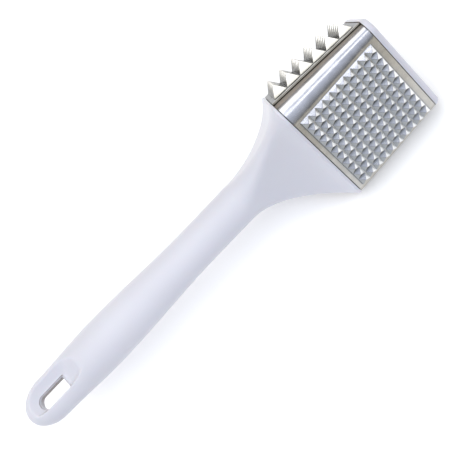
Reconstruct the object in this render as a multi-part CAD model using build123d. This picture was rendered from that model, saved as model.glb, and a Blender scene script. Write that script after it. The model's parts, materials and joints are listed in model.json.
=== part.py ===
"""Meat mallet: a moulded plastic handle that carries a three-sided head.

The head is a tapered triangular block. Its three faces carry a fine-toothed plate, a plate of
coarse spikes and a smooth plate. One bolt along the handle's axis clamps the end cap, the core
with its plates and the handle's shoulder together.

Everything is modelled about the handle's axis: X runs along the handle towards the head, X = 0 is
the shoulder's flat face, and Z points at the ridge between the two toothed faces. At the end, every
solid moves so that the origin is the centre of the smooth striking face.
"""

import os
from math import cos, pi, radians, sin, sqrt, tan

from build123d import *

# --- driving dimensions, mm and degrees ---------------------------------------------------------
HEAD_LENGTH = 60.5          # shoulder face to end cap
FACE_DISTANCE = 27.0        # axis to a striking face, at the shoulder
HEAD_TAPER = 3.45           # how far each face leans in towards the cap, degrees
FLAT_CORE = 16.5            # inradius of the triangle that the corner radii are centred on

SHEET = 1.2                 # thickness of the fine-toothed sheet
PLATE = 2.4                 # thickness of the coarse and smooth plates
PLATE_HALF_WIDTH = 28.2     # half width of the coarse and smooth plates
SHORT_REACH = 50.0          # where a thick plate's bent edge stops, degrees about the axis
END_GAP = 0.15              # plates stop this far from the shoulder and the cap
LONG_REACH = 63.75          # where a sheet that wraps over a ridge stops, degrees about the axis
FIT_GAP = 0.1               # clearance between pieces that slot together
TOOTH_ROOT = 0.15           # valleys between teeth stay this far above the metal they rise from

FINE_PITCH = 5.3
FINE_HEIGHT = 2.5
FINE_ALONG = 10             # teeth along the handle's direction
FINE_ACROSS = 11            # teeth across the face
FINE_START = 3.25           # shoulder to the edge of the tooth field
FINE_SHIFT = -2.2           # tooth field's centre line, off the face's centre line
FIELD_STEP = 0.5            # the tooth field stands this far above the sheet

COARSE_PITCH = 9.0
COARSE_HEIGHT = 6.3
COARSE_ROWS = 6             # the same number of spikes along and across
COARSE_START = 2.85
COARSE_SHIFT = 0.6

CAP_THICKNESS = 3.5
CAP_OVERHANG = 0.2          # cap stands this far outside the plates
SHOULDER_OVERHANG = 0.5     # and the handle's shoulder this far
CAP_EDGE = 2.4              # rounding of the cap's outer edge
HUB_RADIUS = 11.0           # hub on the cap's inner side, which the bolt head sits in
HUB_DEPTH = 8.5
WELL_RADIUS = 8.6
WELL_FLOOR = 3.0

CORE_WALL = 3.2
CORE_FLOOR = 4.0
BOSS_RADIUS = 8.0
RIB = 3.0
SPIGOT_INRADIUS = 9.0       # triangular spigot that stops the core turning on the handle
SPIGOT_DEPTH = 4.0

BOLT_RADIUS = 3.9
BOLT_CLEARANCE = 4.3
BOLT_REACH = 36.0           # how far the bolt goes into the handle
BOLT_HEAD_FLATS = 13.0
BOLT_HEAD_HEIGHT = 5.3
WASHER_RADIUS = 8.0
WASHER_THICKNESS = 1.6
INSERT_RADIUS = 6.5
INSERT_LENGTH = 24.0
INSERT_START = 12.0         # shoulder face to the insert's near end
INSERT_BORE = 3.95
PLUG_THICKNESS = 1.6

TAB_LENGTH = 1.0            # tongues at the ends of the two thick plates, held by shoulder and cap
TAB_THICKNESS = 0.8
TAB_HALF_WIDTH = 19.0

HANDLE_END = 218.0          # shoulder face to the round end of the handle
SHOULDER_LIP = 1.5          # full-size rim of the shoulder, against the plates
FLARE_LENGTH = 48.5         # the neck spreads from the grip to the shoulder's rim over this length
FLARE_POWER = 1.75
WAIST_X = 80.0              # narrowest point of the handle
WAIST_HALF = 12.0
PALM_X = 158.0              # widest point of the grip
PALM_HALF = 14.6
TAIL_X = 200.0              # where the round end begins
TAIL_HALF = 13.4
GRIP_FLATNESS = 0.76        # grip's thickness over its width
TAIL_FLATNESS = 0.64        # the same at the thinner round end
END_LEFT = 0.25             # size of the last cross-section, over the tail's size

SLOT_X = 188.0              # square end of the hanging slot
SLOT_LENGTH = 19.2
SLOT_WIDTH = 8.2
SLOT_SHIFT = -0.6
WEB_HALF = 2.5              # half thickness of the web that the slot goes through
RECESS_X = 185.5            # floor of the recess round the slot, on both sides of the grip
RECESS_LENGTH = 20.8
RECESS_WIDTH = 9.0
RECESS_SHIFT = -0.1
RECESS_SLOPE = 58.0         # how far three of its sides lean outwards, degrees
RECESS_STEEP = 23.0         # how far the fourth side leans

SECTION_POINTS = 48

TAN = tan(radians(HEAD_TAPER))
FINE_FACE = 150.0           # directions that the three faces look in, degrees about the axis
COARSE_FACE = 30.0
SMOOTH_FACE = 270.0


def face_distance(x):
    """Axis to the face of a plate, at x along the axis."""
    return FACE_DISTANCE - x * TAN


def section_plane(x):
    """Cross-section of the mallet at x: its local axes are the mallet's Y and Z."""
    return Plane(origin=(x, 0, 0), x_dir=(0, 1, 0), z_dir=(1, 0, 0))


def rounded_triangle(x, inradius, corner):
    """Triangle with one corner up, as a sketch across the axis. inradius includes the corner."""
    core = inradius - corner
    triangle = RegularPolygon(radius=2 * core, side_count=3, rotation=90)
    return section_plane(x) * offset(triangle, amount=corner, kind=Kind.ARC)


def head_block(x_start, x_end, inset=0.0):
    """The head's tapered block from x_start to x_end, inset squarely from the plates' faces."""
    ends = []
    for x in (x_start, x_end):
        inradius = face_distance(x) - inset / cos(radians(HEAD_TAPER))
        ends.append(rounded_triangle(x, inradius, inradius - FLAT_CORE))
    return loft(ends, ruled=True)


def face_plane(direction):
    """Plane on a striking face: local X runs along the head, Z points out of the face."""
    angle = radians(direction)
    outward = Vector(0, cos(angle), sin(angle))
    lean = radians(HEAD_TAPER)
    axis = Vector(1, 0, 0)
    along = axis * cos(lean) - outward * sin(lean)
    normal = outward * cos(lean) + axis * sin(lean)
    return Plane(origin=outward * FACE_DISTANCE, x_dir=along, z_dir=normal)


def slab(x_start, x_end, half_width, z_low, z_high, shift=0.0):
    """Flat box in a face's own axes."""
    size = (x_end - x_start, 2 * half_width, z_high - z_low)
    centre = ((x_start + x_end) / 2, shift, (z_low + z_high) / 2)
    return Pos(*centre) * Box(*size)


def cylinder_along(x_start, x_end, radius):
    """Round bar on the handle's axis."""
    return extrude(section_plane(x_start) * Circle(radius), x_end - x_start)


def groove(pitch, height, length):
    """V groove along X, with its bottom on the X axis: it leaves half a tooth on each side."""
    lift = 1.2
    half = pitch / 2 * lift
    profile = Plane.YZ * Polygon((0, 0), (half, height * lift), (-half, height * lift), align=None)
    return extrude(profile, length / 2, both=True)


def tooth_field(pitch, height, along, across, start, shift, root=TOOTH_ROOT):
    """Square pyramids with a thin root that sinks into the metal, in the face's own axes."""
    length = along * pitch
    width = across * pitch
    field = slab(start, start + length, width / 2, -SHEET / 2, height, shift)
    centre_x = start + length / 2
    depth = height - root
    grooves = []
    for i in range(across + 1):
        y = shift - width / 2 + i * pitch
        grooves.append(Pos(centre_x, y, root) * groove(pitch, depth, length + pitch))
    for i in range(along + 1):
        x = start + i * pitch
        turned = Rot(0, 0, 90) * groove(pitch, depth, width + pitch)
        grooves.append(Pos(x, shift, root) * turned)
    return field - grooves


def end_tabs(gap=0.0):
    """Tongues at both ends of a thick plate, in the face's own axes, grown by gap."""
    face_length = HEAD_LENGTH / cos(radians(HEAD_TAPER))
    half_width = TAB_HALF_WIDTH + gap
    low = -PLATE - gap
    high = -PLATE + TAB_THICKNESS + gap
    near = slab(-TAB_LENGTH - gap, 1, half_width, low, high)
    far = slab(face_length - 1, face_length + TAB_LENGTH + gap, half_width, low, high)
    return near + far


def tab_slots():
    """The spaces that the four tongues fill, with their clearance."""
    slots = end_tabs(gap=FIT_GAP)
    return face_plane(COARSE_FACE) * slots + face_plane(SMOOTH_FACE) * slots


# --- handle --------------------------------------------------------------------------------------
def handle_half_width(distance):
    """Half width of the grip at a distance from the shoulder, up to the round end."""
    if distance <= WAIST_X:
        return WAIST_HALF
    if distance <= PALM_X:
        share = (1 - cos(pi * (distance - WAIST_X) / (PALM_X - WAIST_X))) / 2
        return WAIST_HALF + (PALM_HALF - WAIST_HALF) * share
    if distance <= TAIL_X:
        share = (1 - cos(pi * (distance - PALM_X) / (TAIL_X - PALM_X))) / 2
        return PALM_HALF + (TAIL_HALF - PALM_HALF) * share
    closing = (distance - TAIL_X) / (HANDLE_END - TAIL_X)
    return TAIL_HALF * max(sqrt(max(1 - closing ** 2, 0)), END_LEFT)


def neck_shape(distance):
    """Triangle inradius, corner radius and thickness ratio of the cross-section in the neck."""
    spread = max(1 - max(distance - SHOULDER_LIP, 0) / FLARE_LENGTH, 0.0)
    shoulder_inradius = FACE_DISTANCE + SHOULDER_OVERHANG
    shoulder_corner = shoulder_inradius - FLAT_CORE
    shoulder_reach = 2 * FLAT_CORE + shoulder_corner
    grip = handle_half_width(distance)
    reach = grip + (shoulder_reach - grip) * spread ** FLARE_POWER
    ridge = 3.0 + (grip - 3.0) * (1 - spread) ** FLARE_POWER
    corner = min(ridge + (shoulder_corner - 3.0) * spread ** 10, reach)
    core = (reach - corner) / 2
    thinning = min(max(distance - PALM_X, 0) / (TAIL_X - PALM_X), 1.0)
    flatness = GRIP_FLATNESS + (TAIL_FLATNESS - GRIP_FLATNESS) * (1 - cos(pi * thinning)) / 2
    thickness = flatness + (1 - flatness) * min(spread * 2, 1.0)
    return core, corner, thickness


def triangle_radius(core, corner, angle):
    """Distance from the axis to a rounded triangle's edge, in the direction of angle (radians)."""
    from_ridge = (angle - pi / 2 + pi / 3) % (2 * pi / 3) - pi / 3
    from_face = pi / 3 - abs(from_ridge)
    flat = (core + corner) / cos(from_face)
    if flat * sin(from_face) <= core * sqrt(3):
        return flat
    side = 2 * core * sin(from_ridge)
    return 2 * core * cos(from_ridge) + sqrt(corner ** 2 - side ** 2)


def handle_section(distance):
    """Closed smooth cross-section of the handle."""
    core, corner, thickness = neck_shape(distance)
    points = []
    for i in range(SECTION_POINTS):
        angle = 2 * pi * i / SECTION_POINTS
        radius = triangle_radius(core, corner, angle)
        points.append((radius * cos(angle), radius * sin(angle) * thickness))
    return section_plane(-distance) * make_face(Spline(*points, periodic=True))


def slot_outline():
    """Hanging slot in plan: square towards the head, round towards the handle's end."""
    half = SLOT_WIDTH / 2
    straight = SLOT_LENGTH - half
    body = Pos(-SLOT_X - straight / 2, SLOT_SHIFT) * RectangleRounded(straight, SLOT_WIDTH, 0.8)
    return body + Pos(-SLOT_X - straight, SLOT_SHIFT) * Circle(half)


def recess_outline(height):
    """Plan of the recess at a height above the web: steep on one side, sloping on the others."""
    spread = height * tan(radians(RECESS_SLOPE))
    steep = height * tan(radians(RECESS_STEEP))
    width = RECESS_WIDTH + spread + steep
    centre = (-RECESS_X - RECESS_LENGTH / 2, RECESS_SHIFT + (spread - steep) / 2)
    outline = RectangleRounded(RECESS_LENGTH + 2 * spread, width, 0.45 * width)
    return Plane.XY.offset(WEB_HALF + height) * Pos(*centre) * outline


def recess():
    """Space over the web on the upper side of the grip."""
    return loft([recess_outline(0), recess_outline(PALM_HALF * GRIP_FLATNESS)], ruled=True)


def make_handle():
    stations = [SHOULDER_LIP, 4, 8, 13, 19, 26, 34, 42, 52, 66, 80, 100, 120, 140, 158, 175, 190, 200]
    steps = 5
    for i in range(1, steps + 1):
        stations.append(TAIL_X + (HANDLE_END - TAIL_X) * sin(pi / 2 * i / steps))
    solid = loft([handle_section(distance) for distance in stations])
    solid += extrude(handle_section(SHOULDER_LIP), SHOULDER_LIP)
    solid -= extrude(slot_outline(), 2 * PALM_HALF, both=True)
    solid -= recess()
    solid -= mirror(recess(), about=Plane.XY)
    solid -= cylinder_along(-BOLT_REACH - 6, 1, BOLT_CLEARANCE)
    solid -= cylinder_along(-INSERT_START - INSERT_LENGTH, -INSERT_START, INSERT_RADIUS)
    gap = SPIGOT_INRADIUS + FIT_GAP
    socket = rounded_triangle(-SPIGOT_DEPTH - FIT_GAP, gap, 2.0)
    solid -= extrude(socket, SPIGOT_DEPTH + 1)
    return solid - tab_slots()


# --- head ----------------------------------------------------------------------------------------
def make_head_core():
    block = head_block(0, HEAD_LENGTH, inset=SHEET)
    hollow = head_block(CORE_FLOOR, HEAD_LENGTH, inset=SHEET + CORE_WALL)
    boss_end = HEAD_LENGTH - HUB_DEPTH
    webs = cylinder_along(CORE_FLOOR, boss_end, BOSS_RADIUS)
    reach = 2 * FACE_DISTANCE
    for i in range(3):
        web = Pos(CORE_FLOOR, -RIB / 2, 0) * Box(boss_end - CORE_FLOOR, RIB, reach,
                                                align=(Align.MIN, Align.MIN, Align.MIN))
        webs += Rot(120 * i, 0, 0) * web
    core = (block - hollow) + (webs & head_block(0, HEAD_LENGTH, inset=SHEET + CORE_WALL / 2))
    for direction in (COARSE_FACE, SMOOTH_FACE):
        bed = slab(-1, HEAD_LENGTH + 2, PLATE_HALF_WIDTH + FIT_GAP, -PLATE, 1)
        core -= face_plane(direction) * bed
    core += extrude(rounded_triangle(-SPIGOT_DEPTH, SPIGOT_INRADIUS, 2.0), SPIGOT_DEPTH)
    return core - cylinder_along(-SPIGOT_DEPTH - 1, HEAD_LENGTH, BOLT_CLEARANCE)


def sector(start, end):
    """Wedge about the axis between two directions in degrees, just shorter than the head."""
    reach = 4 * FACE_DISTANCE
    points = [(0, 0)]
    steps = 4
    for i in range(steps + 1):
        angle = radians(start + (end - start) * i / steps)
        points.append((reach * cos(angle), reach * sin(angle)))
    outline = section_plane(END_GAP) * Polygon(*points, align=None)
    return extrude(outline, HEAD_LENGTH - 2 * END_GAP)


def bent_sheet(start, end):
    """Sheet on the block's surface, bent round the ridges between two directions."""
    shell = head_block(0, HEAD_LENGTH) - head_block(0, HEAD_LENGTH, inset=SHEET)
    return shell & sector(start, end)


def make_fine_tooth_plate():
    sheet = bent_sheet(FINE_FACE - LONG_REACH, FINE_FACE + LONG_REACH)
    teeth = tooth_field(FINE_PITCH, FINE_HEIGHT, FINE_ALONG, FINE_ACROSS,
                        FINE_START, FINE_SHIFT, root=FIELD_STEP)
    return sheet + face_plane(FINE_FACE) * teeth


def thick_plate(direction, start, end):
    """Plate let into the core, with thinner edges that bend round the ridges on both sides."""
    plane = face_plane(direction)
    flat = plane * slab(-3, HEAD_LENGTH + 4, PLATE_HALF_WIDTH, -PLATE, 0)
    middle = plane * slab(-3, HEAD_LENGTH + 4, PLATE_HALF_WIDTH, -PLATE, 1)
    return (flat & sector(start, end)) + (bent_sheet(start, end) - middle) + plane * end_tabs()


def make_coarse_tooth_plate():
    plate = thick_plate(COARSE_FACE, COARSE_FACE - SHORT_REACH, COARSE_FACE + SHORT_REACH)
    spikes = tooth_field(COARSE_PITCH, COARSE_HEIGHT, COARSE_ROWS, COARSE_ROWS,
                         COARSE_START, COARSE_SHIFT)
    return plate + face_plane(COARSE_FACE) * spikes


def make_smooth_plate():
    return thick_plate(SMOOTH_FACE, SMOOTH_FACE - SHORT_REACH, SMOOTH_FACE + LONG_REACH)


def make_end_cap():
    inradius = face_distance(HEAD_LENGTH) + CAP_OVERHANG
    outline = rounded_triangle(HEAD_LENGTH, inradius, inradius - FLAT_CORE)
    cap = extrude(outline, CAP_THICKNESS)
    outer_edges = cap.faces().sort_by(Axis.X)[-1].edges()
    cap = fillet(outer_edges, CAP_EDGE)
    cap += cylinder_along(HEAD_LENGTH - HUB_DEPTH, HEAD_LENGTH, HUB_RADIUS)
    cap -= cylinder_along(HEAD_LENGTH - HUB_DEPTH + WELL_FLOOR, HEAD_LENGTH + 9, WELL_RADIUS)
    cap -= cylinder_along(0, HEAD_LENGTH, BOLT_CLEARANCE)
    return cap - tab_slots()


# --- fasteners -----------------------------------------------------------------------------------
def make_tie_bolt():
    seat = HEAD_LENGTH - HUB_DEPTH + WELL_FLOOR + WASHER_THICKNESS
    hexagon = RegularPolygon(radius=BOLT_HEAD_FLATS / 2, side_count=6, major_radius=False)
    head = extrude(section_plane(seat) * hexagon, BOLT_HEAD_HEIGHT)
    shank = cylinder_along(-BOLT_REACH, seat, BOLT_RADIUS)
    tip = shank.faces().sort_by(Axis.X)[0].edges()
    return head + chamfer(tip, 1.0)


def make_bolt_washer():
    seat = HEAD_LENGTH - HUB_DEPTH + WELL_FLOOR
    ring = cylinder_along(seat, seat + WASHER_THICKNESS, WASHER_RADIUS)
    return ring - cylinder_along(seat - 1, seat + 3, BOLT_CLEARANCE)


def make_threaded_insert():
    far = -INSERT_START - INSERT_LENGTH
    body = cylinder_along(far, -INSERT_START, INSERT_RADIUS)
    waist = cylinder_along(far + 9, far + 15, INSERT_RADIUS + 1)
    waist -= cylinder_along(far + 8, far + 16, INSERT_RADIUS - 1)
    body -= waist
    return body - cylinder_along(far - 1, 0, INSERT_BORE)


def make_cap_plug():
    outer = HEAD_LENGTH + CAP_THICKNESS
    plug = cylinder_along(outer - PLUG_THICKNESS, outer, WELL_RADIUS - FIT_GAP)
    rim = plug.faces().sort_by(Axis.X)[-1].edges()
    return fillet(rim, 0.5)


# --- assembly ------------------------------------------------------------------------------------
MIDDLE = HEAD_LENGTH / 2
TO_SMOOTH_FACE = Pos(-MIDDLE, 0, face_distance(MIDDLE))

NODES = {
    "handle": make_handle,
    "threaded_insert": make_threaded_insert,
    "head_core": make_head_core,
    "fine_tooth_plate": make_fine_tooth_plate,
    "coarse_tooth_plate": make_coarse_tooth_plate,
    "smooth_plate": make_smooth_plate,
    "end_cap": make_end_cap,
    "tie_bolt": make_tie_bolt,
    "bolt_washer": make_bolt_washer,
    "cap_plug": make_cap_plug,
}

os.makedirs("parts", exist_ok=True)
for name, make in NODES.items():
    export_step(TO_SMOOTH_FACE * make(), f"parts/{name}.step")
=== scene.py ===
"""Looks of the meat mallet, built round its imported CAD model.

The handle, the fine-toothed sheet and the coarse plate get finer meshes of the same shape. The core,
the smooth plate, the cap, its plug and the hidden fasteners keep their CAD meshes and get finished
materials.
"""

import json
from math import cos, hypot, pi, radians, sin, sqrt, tan

import bmesh
import bpy
from mathutils import Matrix, Vector


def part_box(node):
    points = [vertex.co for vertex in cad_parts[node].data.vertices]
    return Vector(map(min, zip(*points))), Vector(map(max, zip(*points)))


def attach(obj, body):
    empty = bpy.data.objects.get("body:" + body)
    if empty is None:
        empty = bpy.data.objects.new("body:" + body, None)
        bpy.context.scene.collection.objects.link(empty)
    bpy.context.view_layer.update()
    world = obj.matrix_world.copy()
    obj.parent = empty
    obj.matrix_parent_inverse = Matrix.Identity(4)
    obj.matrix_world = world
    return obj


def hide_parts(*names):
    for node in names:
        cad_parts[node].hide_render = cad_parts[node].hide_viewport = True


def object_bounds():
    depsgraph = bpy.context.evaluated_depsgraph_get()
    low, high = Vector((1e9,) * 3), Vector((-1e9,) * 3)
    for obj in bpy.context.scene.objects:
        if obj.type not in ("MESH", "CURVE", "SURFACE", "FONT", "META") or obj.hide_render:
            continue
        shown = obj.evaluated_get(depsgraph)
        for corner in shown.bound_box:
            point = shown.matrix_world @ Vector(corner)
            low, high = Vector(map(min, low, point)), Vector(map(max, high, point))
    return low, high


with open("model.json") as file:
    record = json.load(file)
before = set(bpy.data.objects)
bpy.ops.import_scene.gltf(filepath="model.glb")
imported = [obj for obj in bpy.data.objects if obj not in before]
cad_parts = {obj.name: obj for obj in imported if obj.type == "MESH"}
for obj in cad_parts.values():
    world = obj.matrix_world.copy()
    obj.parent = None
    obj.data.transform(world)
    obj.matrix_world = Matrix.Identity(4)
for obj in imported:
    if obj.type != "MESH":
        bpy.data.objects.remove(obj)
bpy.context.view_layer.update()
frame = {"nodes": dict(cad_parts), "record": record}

MM = 0.001

# --- where the CAD model has things -----------------------------------------------------------------
core_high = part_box("head_core")[1]
plug_low, plug_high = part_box("cap_plug")
handle_low, handle_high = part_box("handle")
HEAD_START = handle_high.x
AXIS_Y = (plug_low.y + plug_high.y) / 2
AXIS_Z = (plug_low.z + plug_high.z) / 2
HEAD_LENGTH = (core_high.x - HEAD_START) / MM
HANDLE_END = (HEAD_START - handle_low.x) / MM

# --- the part's own dimensions, in millimetres and degrees ------------------------------------------
FACE_DISTANCE = 27.0                # axis to a striking face, at the shoulder
HEAD_TAPER = 3.45                   # how far each face leans in towards the cap
FLAT_CORE = 16.5                    # inradius of the triangle that the corner radii are centred on
RIM = 0.5                           # the shoulder stands this far outside the plates
SHEET = 1.2                         # thickness of the two bent sheets' meshes
SHEET_GAP = 0.2                     # sheets stop this far from the shoulder and the cap
FINE_FACE = 150.0                   # directions that the toothed faces look in, about the axis
COARSE_FACE = 30.0

SHOULDER_LIP = 1.5                  # full-size rim of the shoulder
FLARE_LENGTH = 48.5                 # the neck spreads from the grip to that rim over this length
FLARE_POWER = 1.75
NECK_RIDGE = 3.0                    # radius of the neck's ridges, just behind the shoulder
RIM_BLEND_POWER = 10                # how quickly they widen to the shoulder's own corners
WAIST_X, WAIST_HALF = 80.0, 12.0
PALM_X, PALM_HALF = 158.0, 14.6
TAIL_X, TAIL_HALF = 200.0, 13.4
END_LEFT = 0.02                     # size of the last cross-section, over the tail's size
GRIP_FLATNESS, TAIL_FLATNESS = 0.76, 0.64

SLOT_X, SLOT_LENGTH, SLOT_WIDTH = 188.0, 19.2, 8.2
SLOT_SHIFT = -0.6
SLOT_CORNER = 0.9                   # rounding of the slot's square end
WEB_HALF = 2.5                      # half thickness of the web that the slot goes through
RECESS_X, RECESS_LENGTH, RECESS_WIDTH = 185.5, 20.8, 9.0
RECESS_SHIFT = -0.1
RECESS_SLOPE, RECESS_STEEP = 58.0, 23.0
RECESS_CORNER = 0.45                # corner radius of the recess over its width
RECESS_REACH = 20.0                 # the leaning sides begin within this length before the floor
FLOOR_EASE, RIM_EASE = 1.0, 0.4     # how softly the sides meet the floor and the grip, mm squared

SKIRT_LEVELS = (-0.05, -0.5)        # heights, from a face, of the skirt round a tooth field


def at(x, y, z):
    """Point in metres from millimetres along, across and above the handle's axis."""
    return Vector((HEAD_START + x * MM, AXIS_Y + y * MM, AXIS_Z + z * MM))


# --- materials --------------------------------------------------------------------------------------
# Painted light for the plating: a white reflection for surfaces that look at the cap, a brownish shade for
# the lower sides of the teeth, and a near-black shade for the valleys between them.
REFLECTED_WHITE = (0.95, 0.95, 0.95)
UNDERSIDE_SHADE = (0.36, 0.33, 0.27)
VALLEY_SHADE = (0.05, 0.05, 0.05)


class Nodes:
    """A material's node tree, with short calls for the nodes used here."""

    def __init__(self, name):
        self.material = bpy.data.materials.new(name)
        self.material.use_nodes = True
        self.tree = self.material.node_tree
        self.shader = self.tree.nodes["Principled BSDF"]
        self.place = self.tree.nodes.new("ShaderNodeTexCoord").outputs["Object"]

    def link(self, source, target):
        self.tree.links.new(source, target)

    def stretched(self, along, across):
        """Object coordinates scaled by along in X and by across in Y and Z."""
        mapping = self.tree.nodes.new("ShaderNodeMapping")
        mapping.inputs["Scale"].default_value = (along, across, across)
        self.link(self.place, mapping.inputs["Vector"])
        return mapping.outputs["Vector"]

    def noise(self, scale, detail=3.0, vector=None, distortion=0.0):
        node = self.tree.nodes.new("ShaderNodeTexNoise")
        node.inputs["Scale"].default_value = scale
        node.inputs["Detail"].default_value = detail
        node.inputs["Distortion"].default_value = distortion
        self.link(vector or self.place, node.inputs["Vector"])
        return node.outputs["Fac"]

    def ramp(self, value, stops):
        """A colour that follows a value through stops [(position, colour), ...]."""
        node = self.tree.nodes.new("ShaderNodeValToRGB")
        elements = node.color_ramp.elements
        while len(elements) < len(stops):
            elements.new(0.5)
        for element, (position, colour) in zip(elements, stops):
            element.position = position
            element.color = (*colour, 1)
        self.link(value, node.inputs["Fac"])
        return node.outputs["Color"]

    def span(self, value, low, high, start=0.3, end=0.7):
        """A number that goes from low to high while the value goes from start to end."""
        node = self.tree.nodes.new("ShaderNodeMapRange")
        node.inputs["From Min"].default_value = start
        node.inputs["From Max"].default_value = end
        node.inputs["To Min"].default_value = low
        node.inputs["To Max"].default_value = high
        self.link(value, node.inputs["Value"])
        return node.outputs["Result"]

    def mix(self, factor, first, second, blend="MIX"):
        """The first colour blended with the second one; each may be a constant or a socket."""
        node = self.tree.nodes.new("ShaderNodeMix")
        node.data_type = "RGBA"
        node.blend_type = blend
        for socket, value in ((node.inputs[0], factor), (node.inputs[6], first), (node.inputs[7], second)):
            if isinstance(value, (int, float)):
                socket.default_value = value
            elif isinstance(value, tuple):
                socket.default_value = (*value, 1)
            else:
                self.link(value, socket)
        return node.outputs[2]

    def add(self, first, second):
        node = self.tree.nodes.new("ShaderNodeMath")
        self.link(first, node.inputs[0])
        self.link(second, node.inputs[1])
        return node.outputs[0]

    def bump(self, height, strength, distance, below=None):
        node = self.tree.nodes.new("ShaderNodeBump")
        node.inputs["Strength"].default_value = strength
        node.inputs["Distance"].default_value = distance
        self.link(height, node.inputs["Height"])
        if below is not None:
            self.link(below, node.inputs["Normal"])
        return node.outputs["Normal"]

    def crevice(self, distance):
        """1 in the open, towards 0 in corners and between teeth."""
        node = self.tree.nodes.new("ShaderNodeAmbientOcclusion")
        node.inputs["Distance"].default_value = distance
        node.samples = 8
        return node.outputs["AO"]

    def facing(self, axis):
        """How far the surface looks along an axis: X is from the grip to the cap, Z is up."""
        geometry = self.tree.nodes.new("ShaderNodeNewGeometry")
        split = self.tree.nodes.new("ShaderNodeSeparateXYZ")
        self.link(geometry.outputs["Normal"], split.inputs[0])
        return split.outputs[axis]

    def finish(self, colour, roughness, normal, **constants):
        """Links the shader's main inputs, sets its constants and gives the material."""
        self.link(colour, self.shader.inputs["Base Color"])
        self.link(roughness, self.shader.inputs["Roughness"])
        self.link(normal, self.shader.inputs["Normal"])
        for name, value in constants.items():
            self.shader.inputs[name.replace("_", " ")].default_value = value
        return self.material


def plastic(name, light, dark, painted_dark, roughness, grain):
    """Moulded plastic: faint clouding, fine moulding grain, rubbed patches and painted shade in its
    corners and recesses.
    """
    n = Nodes(name)
    cloud = n.noise(16, 4, distortion=0.4)
    colour = n.ramp(cloud, [(0.3, dark), (0.7, light)])
    specks = n.noise(900, 2)
    colour = n.mix(n.span(specks, 0.0, 0.35, 0.70, 0.80), colour, dark)
    # Painted shade: the colour goes towards the third colour in tight corners and, more strongly, in wider
    # recesses such as the slot, as ambient occlusion finds them.
    colour = n.mix(n.span(n.crevice(0.003), 0.45, 0.0, 0.35, 0.9), colour, painted_dark)
    colour = n.mix(n.span(n.crevice(0.016), 0.95, 0.0, 0.38, 0.66), colour, painted_dark)
    rubbed = n.noise(30, 5, n.stretched(0.35, 1.0))
    rough = n.span(rubbed, roughness - 0.06, roughness + 0.09)
    waves = n.bump(n.noise(45, 2), 0.25, 0.0004)
    normal = n.bump(n.noise(1500, 3), grain, 0.00008, waves)
    return n.finish(colour, rough, normal, IOR=1.49, Subsurface_Weight=0.06, Subsurface_Scale=0.004)


def plated(name, light, dark, painted_dark, roughness, wave, edge=1.0, reflected_tint=(1, 1, 1), lower_side_shade=0.0):
    """Bright plating on pressed or cast steel: uneven and scratched, with painted shade between the teeth.

    Surfaces that look at the cap get a painted white reflection and those that look at the grip a painted
    dark reflection, which stand for the studio that the plating mirrors. stain is a painted reflection of
    warm surroundings that tints what doesn't look upwards, lee says how strong the painted shade on the
    lower sides of the teeth is, and edge how bright the plating is at a grazing angle.
    """
    n = Nodes(name)
    cloud = n.noise(130, 4, distortion=0.6)
    colour = n.ramp(cloud, [(0.3, dark), (0.65, light)])
    # Painted reflection: a warm tint of the surroundings on surfaces that don't look upwards.
    colour = n.mix(n.span(n.facing("Z"), 1.0, 0.0, 0.50, 0.80), colour, reflected_tint, "MULTIPLY")
    # Painted reflection: surfaces that look at the cap turn towards white.
    colour = n.mix(n.span(n.facing("X"), 0.0, 0.8, 0.25, 0.5), colour, REFLECTED_WHITE)
    # Painted reflection: surfaces that look at the grip turn towards the third colour, a dark mirrored
    # studio.
    colour = n.mix(n.span(n.facing("X"), 0.8, 0.0, -0.5, -0.25), colour, painted_dark)
    # Painted shade on the lower sides of the teeth.
    colour = n.mix(n.span(n.facing("Z"), lower_side_shade, 0.0, -0.1, 0.25), colour, UNDERSIDE_SHADE)
    # Painted shade between the teeth, near black deep in the valleys.
    colour = n.mix(n.span(n.crevice(0.005), 0.95, 0.0, 0.75, 0.97), colour, painted_dark)
    colour = n.mix(n.span(n.crevice(0.0016), 0.9, 0.0, 0.55, 0.80), colour, VALLEY_SHADE)
    # More painted white reflection on surfaces that look at the cap, laid over the painted shade.
    colour = n.mix(n.span(n.facing("X"), 0.0, 0.4, 0.25, 0.5), colour, REFLECTED_WHITE)
    scratches = n.noise(420, 3, n.stretched(0.08, 1.0))
    rough = n.add(n.span(cloud, roughness, roughness + 0.08), n.span(scratches, 0.0, 0.10, 0.55, 0.75))
    waves = n.bump(n.noise(190, 3, distortion=0.3), wave, 0.0005)
    normal = n.bump(scratches, 0.10, 0.00006, waves)
    return n.finish(colour, rough, normal, Metallic=1.0, Specular_Tint=(edge, edge, edge, 1))


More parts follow.
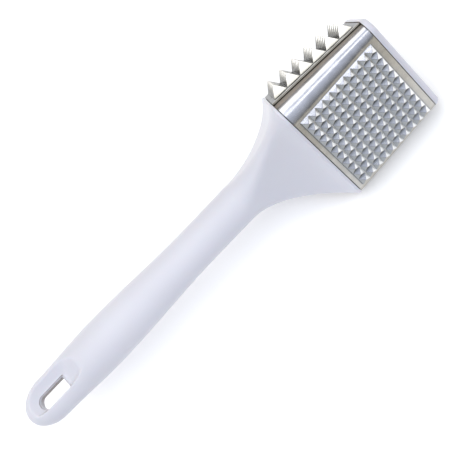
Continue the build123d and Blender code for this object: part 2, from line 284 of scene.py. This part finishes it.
# Each material's third colour is painted shade in corners and between teeth; on the plating it is also the
# painted dark reflection on surfaces that look at the grip.
MATERIALS = {
    "white_plastic": plastic("white_plastic", (0.685, 0.685, 0.745), (0.65, 0.65, 0.71),
                             (0.17, 0.125, 0.07), 0.36, 0.10),
    # The core's brown is painted shade: darker than the core's own plastic, since the core shows only as a
    # strip in a shadowed gap.
    "core_plastic": plastic("core_plastic", (0.30, 0.265, 0.23), (0.24, 0.21, 0.18),
                            (0.06, 0.05, 0.04), 0.45, 0.15),
    # The fine sheet also gets a painted warm reflection on faces that don't look up and strong painted
    # shade on the lower sides of its teeth.
    "plated_sheet": plated("plated_sheet", (0.63, 0.635, 0.68), (0.51, 0.515, 0.55),
                           (0.27, 0.29, 0.31), 0.18, 0.20, reflected_tint=(0.93, 0.89, 0.77), lower_side_shade=0.9),
    "plated_plate": plated("plated_plate", (0.80, 0.80, 0.80), (0.68, 0.68, 0.66),
                           (0.13, 0.125, 0.10), 0.12, 0.14, edge=0.35),
    "bolt_steel": plated("bolt_steel", (0.60, 0.60, 0.62), (0.45, 0.45, 0.47),
                         (0.15, 0.14, 0.12), 0.28, 0.05),
    "brass": plated("brass", (0.80, 0.62, 0.30), (0.62, 0.46, 0.20),
                    (0.20, 0.14, 0.06), 0.25, 0.05),
}


# --- pieces -----------------------------------------------------------------------------------------
def piece(name, points, faces, slot, node, sharp=40):
    """A smooth-shaded piece of the head or handle that stands for a CAD node."""
    mesh = bpy.data.meshes.new(name)
    mesh.from_pydata(points, [], faces)
    mesh.validate()
    made = bpy.data.objects.new(name, mesh)
    bpy.context.scene.collection.objects.link(made)
    mesh.materials.append(MATERIALS[slot])
    mesh.shade_smooth()
    mesh.set_sharp_from_angle(angle=radians(sharp))
    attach(made, "root")
    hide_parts(node)
    return made


def rounded_edges(made, width):
    """Rounds the edges that turn by more than 12 degrees, and keeps the flats flat."""
    bevel = made.modifiers.new("rounded_edges", "BEVEL")
    bevel.width = width * MM
    bevel.segments = 2
    bevel.limit_method = "ANGLE"
    bevel.angle_limit = radians(12)
    weighted = made.modifiers.new("flat_facets", "WEIGHTED_NORMAL")
    weighted.keep_sharp = False
    made.data.shade_smooth()


def rings_to_faces(rings, size):
    """Quads between rings of size points each."""
    faces = []
    for i in range(rings - 1):
        for j in range(size):
            a = i * size + j
            b = i * size + (j + 1) % size
            faces.append((a, b, b + size, a + size))
    return faces


def end_faces(rings, size):
    """One face over the first ring and one over the last."""
    return [tuple(range(size)), tuple(range(size * (rings - 1), size * rings))]


# --- handle -----------------------------------------------------------------------------------------
def half_width(distance):
    """Half width of the grip at a distance from the shoulder."""
    if distance <= WAIST_X:
        return WAIST_HALF
    if distance <= PALM_X:
        share = (1 - cos(pi * (distance - WAIST_X) / (PALM_X - WAIST_X))) / 2
        return WAIST_HALF + (PALM_HALF - WAIST_HALF) * share
    if distance <= TAIL_X:
        share = (1 - cos(pi * (distance - PALM_X) / (TAIL_X - PALM_X))) / 2
        return PALM_HALF + (TAIL_HALF - PALM_HALF) * share
    closing = (distance - TAIL_X) / (HANDLE_END - TAIL_X)
    return TAIL_HALF * sqrt(max(1 - closing ** 2, END_LEFT ** 2))


def neck_shape(distance):
    """Triangle inradius, corner radius and thickness ratio of the cross-section in the neck."""
    spread = max(1 - max(distance - SHOULDER_LIP, 0) / FLARE_LENGTH, 0.0)
    shoulder_corner = FACE_DISTANCE + RIM - FLAT_CORE
    shoulder_reach = 2 * FLAT_CORE + shoulder_corner
    grip = half_width(distance)
    reach = grip + (shoulder_reach - grip) * spread ** FLARE_POWER
    ridge = NECK_RIDGE + (grip - NECK_RIDGE) * (1 - spread) ** FLARE_POWER
    corner = min(ridge + (shoulder_corner - NECK_RIDGE) * spread ** RIM_BLEND_POWER, reach)
    thinning = min(max(distance - PALM_X, 0) / (TAIL_X - PALM_X), 1.0)
    flatness = GRIP_FLATNESS + (TAIL_FLATNESS - GRIP_FLATNESS) * (1 - cos(pi * thinning)) / 2
    thickness = flatness + (1 - flatness) * min(spread * 2, 1.0)
    return (reach - corner) / 2, corner, thickness


def triangle_radius(core, corner, angle):
    """Distance from the axis to a rounded triangle's edge, in the direction of angle."""
    from_ridge = (angle - pi / 2 + pi / 3) % (2 * pi / 3) - pi / 3
    from_face = pi / 3 - abs(from_ridge)
    flat = (core + corner) / cos(from_face)
    if flat * sin(from_face) <= core * sqrt(3):
        return flat
    side = 2 * core * sin(from_ridge)
    return 2 * core * cos(from_ridge) + sqrt(corner ** 2 - side ** 2)


def recess_height(distance, y):
    """Height of the recess's floor and leaning sides above the grip's middle plane.

    The side towards the fine-toothed face is the steep one.
    """
    corner = RECESS_CORNER * RECESS_WIDTH
    dx = abs(distance - RECESS_X - RECESS_LENGTH / 2) - RECESS_LENGTH / 2 + corner
    dy = abs(y - RECESS_SHIFT) - RECESS_WIDTH / 2 + corner
    if y < RECESS_SHIFT and dy > 0:
        dy *= tan(radians(RECESS_SLOPE)) / tan(radians(RECESS_STEEP))
        corner_y = corner * tan(radians(RECESS_SLOPE)) / tan(radians(RECESS_STEEP))
        dy -= corner_y - corner
    outside = hypot(max(dx, 0), max(dy, 0)) + min(max(dx, dy), 0) - corner
    eased = (sqrt(outside ** 2 + FLOOR_EASE) + outside) / 2
    return WEB_HALF + eased / tan(radians(RECESS_SLOPE))


def handle_point(distance, angle):
    """Point on the handle's surface, with the recess taken off its upper and lower side."""
    core, corner, thickness = neck_shape(distance)
    radius = triangle_radius(core, corner, angle)
    y = radius * cos(angle)
    z = radius * sin(angle) * thickness
    if distance > RECESS_X - RECESS_REACH and abs(z) > WEB_HALF:
        above = abs(z) - recess_height(distance, y)
        lowered = (above + sqrt(above ** 2 + RIM_EASE)) / 2
        z -= lowered if z > 0 else -lowered
    return at(-distance, y, z)


def slot_cutter():
    """Block that cuts the hanging slot, flared where it meets the web's two sides.

    Each level has a height, how much wider the slot is there, and how far its square end has moved out.
    """
    flares = [(20, 0.6, 1.7), (WEB_HALF - 0.1, 0.6, 1.7), (WEB_HALF - 0.8, 0.0, 0.6), (0.6, 0.0, 0.0)]
    levels = [(-z, wider, moved) for z, wider, moved in flares]
    levels += [(z, wider, moved) for z, wider, moved in reversed(flares)]
    corner = SLOT_CORNER
    corner_steps = 4
    round_steps = 20
    round_x = SLOT_X + SLOT_LENGTH - SLOT_WIDTH / 2
    points = []
    for z, wider, moved in levels:
        half = SLOT_WIDTH / 2 + wider
        low_y, high_y = SLOT_SHIFT - half, SLOT_SHIFT + half
        square_x = SLOT_X - moved
        for i in range(corner_steps + 1):
            turn = pi / 2 * i / corner_steps
            x = square_x + corner - corner * cos(turn)
            points.append(at(-x, low_y + corner - corner * sin(turn), z))
        for i in range(round_steps + 1):
            turn = -pi / 2 + pi * i / round_steps
            points.append(at(-(round_x + half * cos(turn)), SLOT_SHIFT + half * sin(turn), z))
        for i in range(corner_steps + 1):
            turn = pi / 2 * (1 - i / corner_steps)
            x = square_x + corner - corner * cos(turn)
            points.append(at(-x, high_y - corner + corner * sin(turn), z))
    size = len(points) // len(levels)
    faces = rings_to_faces(len(levels), size) + end_faces(len(levels), size)
    mesh = bpy.data.meshes.new("slot_cutter")
    mesh.from_pydata(points, [], faces)
    cutter = bpy.data.objects.new("slot_cutter", mesh)
    bpy.context.scene.collection.objects.link(cutter)
    make_consistent(mesh)
    return cutter


def make_consistent(mesh):
    """Turns all the faces outwards."""
    shape = bmesh.new()
    shape.from_mesh(mesh)
    bmesh.ops.recalc_face_normals(shape, faces=shape.faces)
    shape.to_mesh(mesh)
    shape.free()


def make_handle():
    """The whole moulding: rings along the grip, close together in the neck and round the slot."""
    edge_length = 0.4
    edge_shrink = 0.006
    distances = [0.0, 0.12, edge_length, 0.8, SHOULDER_LIP]
    distances += [SHOULDER_LIP + 0.7 * i for i in range(1, 70)]
    distances += [51 + 2.0 * i for i in range(62)]
    distances += [175 + 0.5 * i for i in range(50)]
    steps = 44
    distances += [TAIL_X + (HANDLE_END - TAIL_X) * sin(pi / 2 * i / steps) for i in range(steps + 1)]
    size = 192
    points = []
    for distance in distances:
        shrink = 1 - edge_shrink * max(1 - distance / edge_length, 0) ** 2
        for j in range(size):
            point = handle_point(distance, 2 * pi * j / size)
            point.y = AXIS_Y + (point.y - AXIS_Y) * shrink
            point.z = AXIS_Z + (point.z - AXIS_Z) * shrink
            points.append(point)
    faces = rings_to_faces(len(distances), size) + end_faces(len(distances), size)
    handle = piece("handle_body", points, faces, "white_plastic", "handle")
    make_consistent(handle.data)
    cutter = slot_cutter()
    cut = handle.modifiers.new("slot", "BOOLEAN")
    cut.operation = "DIFFERENCE"
    cut.solver = "EXACT"
    cut.object = cutter
    bpy.context.view_layer.update()
    shaped = bpy.data.meshes.new_from_object(handle.evaluated_get(bpy.context.evaluated_depsgraph_get()))
    handle.modifiers.clear()
    handle.data = shaped
    shaped.shade_smooth()
    shaped.set_sharp_from_angle(angle=radians(38))
    bpy.data.objects.remove(cutter)


# --- head -------------------------------------------------------------------------------------------
def on_face(direction, along, across, above):
    """Point in a striking face's own axes: along the head, across it, and above the face."""
    angle = radians(direction)
    outward = Vector((0, cos(angle), sin(angle)))
    lean = radians(HEAD_TAPER)
    axis = Vector((1, 0, 0))
    run = axis * cos(lean) - outward * sin(lean)
    normal = outward * cos(lean) + axis * sin(lean)
    local = outward * FACE_DISTANCE + run * along + normal.cross(run) * across + normal * above
    return at(*local)


def pyramids(name, slot, node, face, pitch, height, root, along, across, start, shift, edge):
    """A field of joined pyramids, with a skirt that sinks into the metal.

    The valleys lie at root above the face, and the skirt leans out by as much on the ridge's side.
    """
    points = []
    for i in range(along + 1):
        for j in range(across + 1):
            points.append(on_face(face, start + i * pitch, shift + (j - across / 2) * pitch, root))
    apex = len(points)
    for i in range(along):
        for j in range(across):
            points.append(on_face(face, start + (i + 0.5) * pitch,
                                  shift + (j + 0.5 - across / 2) * pitch, height))
    faces = []
    row = across + 1
    for i in range(along):
        for j in range(across):
            corners = (i * row + j, (i + 1) * row + j, (i + 1) * row + j + 1, i * row + j + 1)
            top = apex + i * across + j
            for k in range(4):
                faces.append((corners[k], corners[(k + 1) % 4], top))
    rim = [(i, 0) for i in range(along)] + [(along, j) for j in range(across)]
    rim += [(along - i, across) for i in range(along)] + [(0, across - j) for j in range(across)]
    size = len(rim)
    inner = [i * row + j for i, j in rim]
    for level in SKIRT_LEVELS:
        outer = len(points)
        for i, j in rim:
            out = root if j == across else 0.0
            points.append(on_face(face, start + i * pitch, shift + (j - across / 2) * pitch + out, level))
        for k in range(size):
            faces.append((inner[k], outer + k, outer + (k + 1) % size, inner[(k + 1) % size]))
        inner = [outer + k for k in range(size)]
    made = piece(name, points, faces, slot, node)
    make_consistent(made.data)
    rounded_edges(made, edge)


def bent_outline(x, inset, bends):
    """Cross-section of a bent sheet at x: arcs round two ridges, with the flat face between them.

    The outer side rolls inwards at the sheet's two free edges.
    """
    corner = FACE_DISTANCE - x * tan(radians(HEAD_TAPER)) - FLAT_CORE
    steps = 20
    roll_depth, roll_width = 0.45, 2.4
    outline = []
    for number, (ridge, first, last) in enumerate(bends):
        middle = Vector((cos(radians(ridge)), sin(radians(ridge)))) * 2 * FLAT_CORE
        for i in range(steps + 1):
            share = i / steps
            angle = radians(first + (last - first) * share)
            from_edge = share if number == 0 else 1 - share
            distance = from_edge * corner * radians(abs(last - first))
            rolled = roll_depth * max(1 - distance / roll_width, 0) ** 2 if inset < SHEET else 0.0
            reach = corner - max(inset, rolled)
            outline.append((middle.x + reach * cos(angle), middle.y + reach * sin(angle)))
    return outline


def make_sheet(name, slot, node, bends):
    """A sheet on the head with rolled edges, just short of the shoulder and the cap."""
    roll = 0.25
    edge = [(0.0, roll), (0.1, roll * 0.45), (0.3, roll * 0.12), (0.6, 0.0)]
    edge = [(SHEET_GAP + x, inset) for x, inset in edge]
    stations = edge + [(2 + 2 * i, 0.0) for i in range(29)]
    stations += [(HEAD_LENGTH - x, inset) for x, inset in reversed(edge)]
    points = []
    for x, inset in stations:
        outer = bent_outline(x, inset, bends)
        inner = bent_outline(x, SHEET, bends)
        points += [at(x, y, z) for y, z in outer + inner[::-1]]
    size = len(points) // len(stations)
    faces = rings_to_faces(len(stations), size)
    half = size // 2
    for start in (0, size * (len(stations) - 1)):
        for j in range(half - 1):
            faces.append((start + j, start + j + 1, start + size - 2 - j, start + size - 1 - j))
    made = piece(name, points, faces, slot, node, sharp=50)
    make_consistent(made.data)


make_handle()
make_sheet("fine_sheet", "plated_sheet", "fine_tooth_plate", [(90, 75, 150), (210, 150, 225)])
pyramids("fine_teeth", "plated_sheet", "fine_tooth_plate", FINE_FACE, pitch=5.3, height=2.5, root=0.5,
         along=10, across=11, start=3.25, shift=-2.2, edge=0.2)
make_sheet("coarse_sheet", "plated_plate", "coarse_tooth_plate", [(330, 10, 30), (90, 30, 50)])
pyramids("coarse_spikes", "plated_plate", "coarse_tooth_plate", COARSE_FACE, pitch=9.0, height=6.3,
         root=0.15, along=6, across=6, start=2.85, shift=0.6, edge=0.3)

# Every CAD piece gets its slot's material, the replaced ones too.
for entry in frame["record"]["subparts"]:
    kept = frame["nodes"][entry["node"]]
    kept.data.materials.clear()
    kept.data.materials.append(MATERIALS[entry["material_slot"]])

# --- floor, light and camera ------------------------------------------------------------------------
def floor_material():
    """Pale, faintly glowing floor: white under the mallet, cream further out."""
    n = Nodes("pale_floor")
    from_middle = n.tree.nodes.new("ShaderNodeVectorMath")
    from_middle.operation = "DISTANCE"
    from_middle.inputs[1].default_value = (-0.1, 0, 0)
    n.link(n.place, from_middle.inputs[0])
    pale = n.ramp(n.noise(3, 2), [(0.3, (0.90, 0.90, 0.90)), (0.7, (0.93, 0.93, 0.93))])
    colour = n.mix(n.span(from_middle.outputs["Value"], 0.0, 1.0, 0.20, 0.42), pale, (0.64, 0.60, 0.52))
    n.link(colour, n.shader.inputs["Emission Color"])
    rough = n.span(n.noise(60), 0.8, 0.9)
    normal = n.bump(n.noise(400), 0.02, 0.0002)
    return n.finish(colour, rough, normal, Emission_Strength=0.25)


def make_floor():
    """A square just below the mallet."""
    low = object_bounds()[0]
    reach = 6.0
    drop = 0.0002
    corners = [(-reach, -reach, 0), (reach, -reach, 0), (reach, reach, 0), (-reach, reach, 0)]
    mesh = bpy.data.meshes.new("floor")
    mesh.from_pydata(corners, [], [(0, 1, 2, 3)])
    floor = bpy.data.objects.new("floor", mesh)
    floor.location = (0, 0, low[2] - drop)
    bpy.context.scene.collection.objects.link(floor)
    mesh.materials.append(floor_material())


def area_light(name, position, size, power):
    """A rectangular light, size in metres and power in watts, that points at the mallet."""
    data = bpy.data.lights.new(name, "AREA")
    data.shape = "RECTANGLE"
    data.size, data.size_y = size
    data.energy = power
    light = bpy.data.objects.new(name, data)
    light.location = position
    light.rotation_euler = (Vector((0, 0, 0.02)) - Vector(position)).to_track_quat("-Z", "Y").to_euler()
    bpy.context.scene.collection.objects.link(light)


def world_ramp(tree, value, end, first, last):
    """A colour that goes from first to last while the value goes from 0 to end."""
    node = tree.nodes.new("ShaderNodeValToRGB")
    start_stop, end_stop = node.color_ramp.elements
    start_stop.position = 0.0
    start_stop.color = (*first, 1)
    end_stop.position = end
    end_stop.color = (*last, 1)
    tree.links.new(value, node.inputs["Fac"])
    return node.outputs["Color"]


def make_world():
    """Soft surroundings, pale overhead and dark below, cooler on the fine-toothed side."""
    world = bpy.data.worlds.new("studio")
    bpy.context.scene.world = world
    world.use_nodes = True
    tree = world.node_tree
    background = tree.nodes["Background"]
    direction = tree.nodes.new("ShaderNodeTexCoord").outputs["Generated"]
    split = tree.nodes.new("ShaderNodeSeparateXYZ")
    tree.links.new(direction, split.inputs[0])
    height = world_ramp(tree, split.outputs["Z"], 0.9, (0.20, 0.20, 0.20), (0.95, 0.95, 0.95))
    side = world_ramp(tree, split.outputs["Y"], 0.6, (0.86, 0.91, 1.02), (1.0, 0.96, 0.88))
    tint = tree.nodes.new("ShaderNodeMix")
    tint.data_type = "RGBA"
    tint.blend_type = "MULTIPLY"
    tint.inputs[0].default_value = 1.0
    tree.links.new(height, tint.inputs[6])
    tree.links.new(side, tint.inputs[7])
    tree.links.new(tint.outputs[2], background.inputs["Color"])
    background.inputs["Strength"].default_value = 1.0


def make_camera():
    """Camera above the fine-toothed side, turned so that the handle runs to the lower left."""
    data = bpy.data.cameras.new("camera")
    data.sensor_width = 36.0
    data.lens = 95.3
    data.clip_end = 20.0
    camera = bpy.data.objects.new("camera", data)
    bpy.context.scene.collection.objects.link(camera)
    toward = Vector((-0.1008, 0.3816, -0.9188)).normalized()
    upward = Vector((0.7178, 0.6674, 0.1985))
    right = toward.cross(upward).normalized()
    upward = right.cross(toward)
    camera.matrix_world = Matrix((right, upward, -toward)).transposed().to_4x4()
    camera.location = (-0.02938, -0.24931, 0.61789)
    bpy.context.scene.camera = camera


make_floor()
area_light("overhead", (-0.1, 0.49, 1.3), (1.3, 1.02), 5.15)
area_light("strip", (-0.1, -0.27, 1.3), (1.3, 0.17), 1.5)
area_light("cap_side", (1.1, -0.3, 0.7), (0.6, 0.6), 3.0)
area_light("grip_side", (-1.2, 0.2, 0.8), (0.9, 0.9), 4.0)
make_world()
make_camera()
bpy.context.scene.view_settings.view_transform = "Standard"

bpy.context.view_layer.update()
